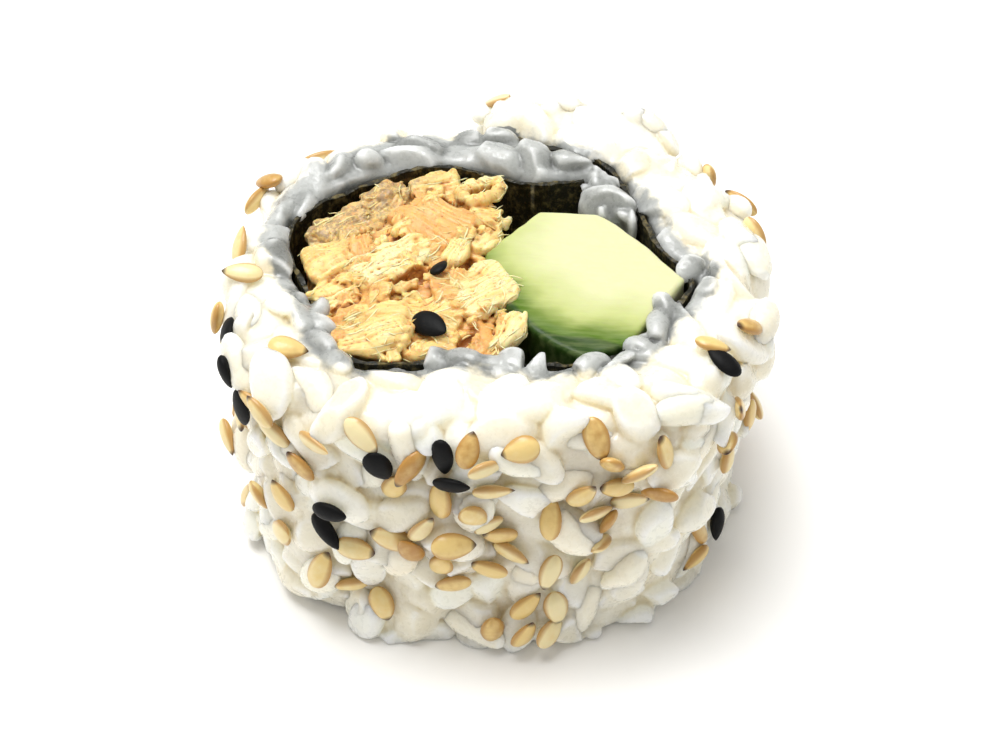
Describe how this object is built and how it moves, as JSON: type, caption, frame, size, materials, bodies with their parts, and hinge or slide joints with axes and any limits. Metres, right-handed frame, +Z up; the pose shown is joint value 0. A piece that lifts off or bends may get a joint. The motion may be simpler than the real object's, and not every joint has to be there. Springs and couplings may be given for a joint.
{
  "type": "uramaki roll",
  "caption": "Piece of inside-out sushi: seeded rice and nori wound round flaked salmon and cucumber, standing on its cut end.",
  "frame": {"origin": "middle of the cut face that the roll stands on", "axes": "+Z up along the roll's own axis, +X from the salmon to the cucumber, +Y to the outer end of the rice band"},
  "size_m": [0.0424, 0.0424, 0.0247],
  "materials": {
    "rice": "moist, translucent white grains that stick together",
    "nori": "thin, almost black sheet with a slight sheen",
    "salmon": "moist, fibrous flakes, cream on top and orange in the crevices",
    "cucumber": "wet cut flesh, cream in the middle and dark green at the skin",
    "tan_sesame": "toasted seeds with a dry sheen and darker tips",
    "black_sesame": "black seeds with a dry sheen"
  },
  "bodies": {
    "root": {"rice": "rice", "nori": "nori", "salmon": "salmon", "cucumber": "cucumber"}
  },
  "joints": []
}
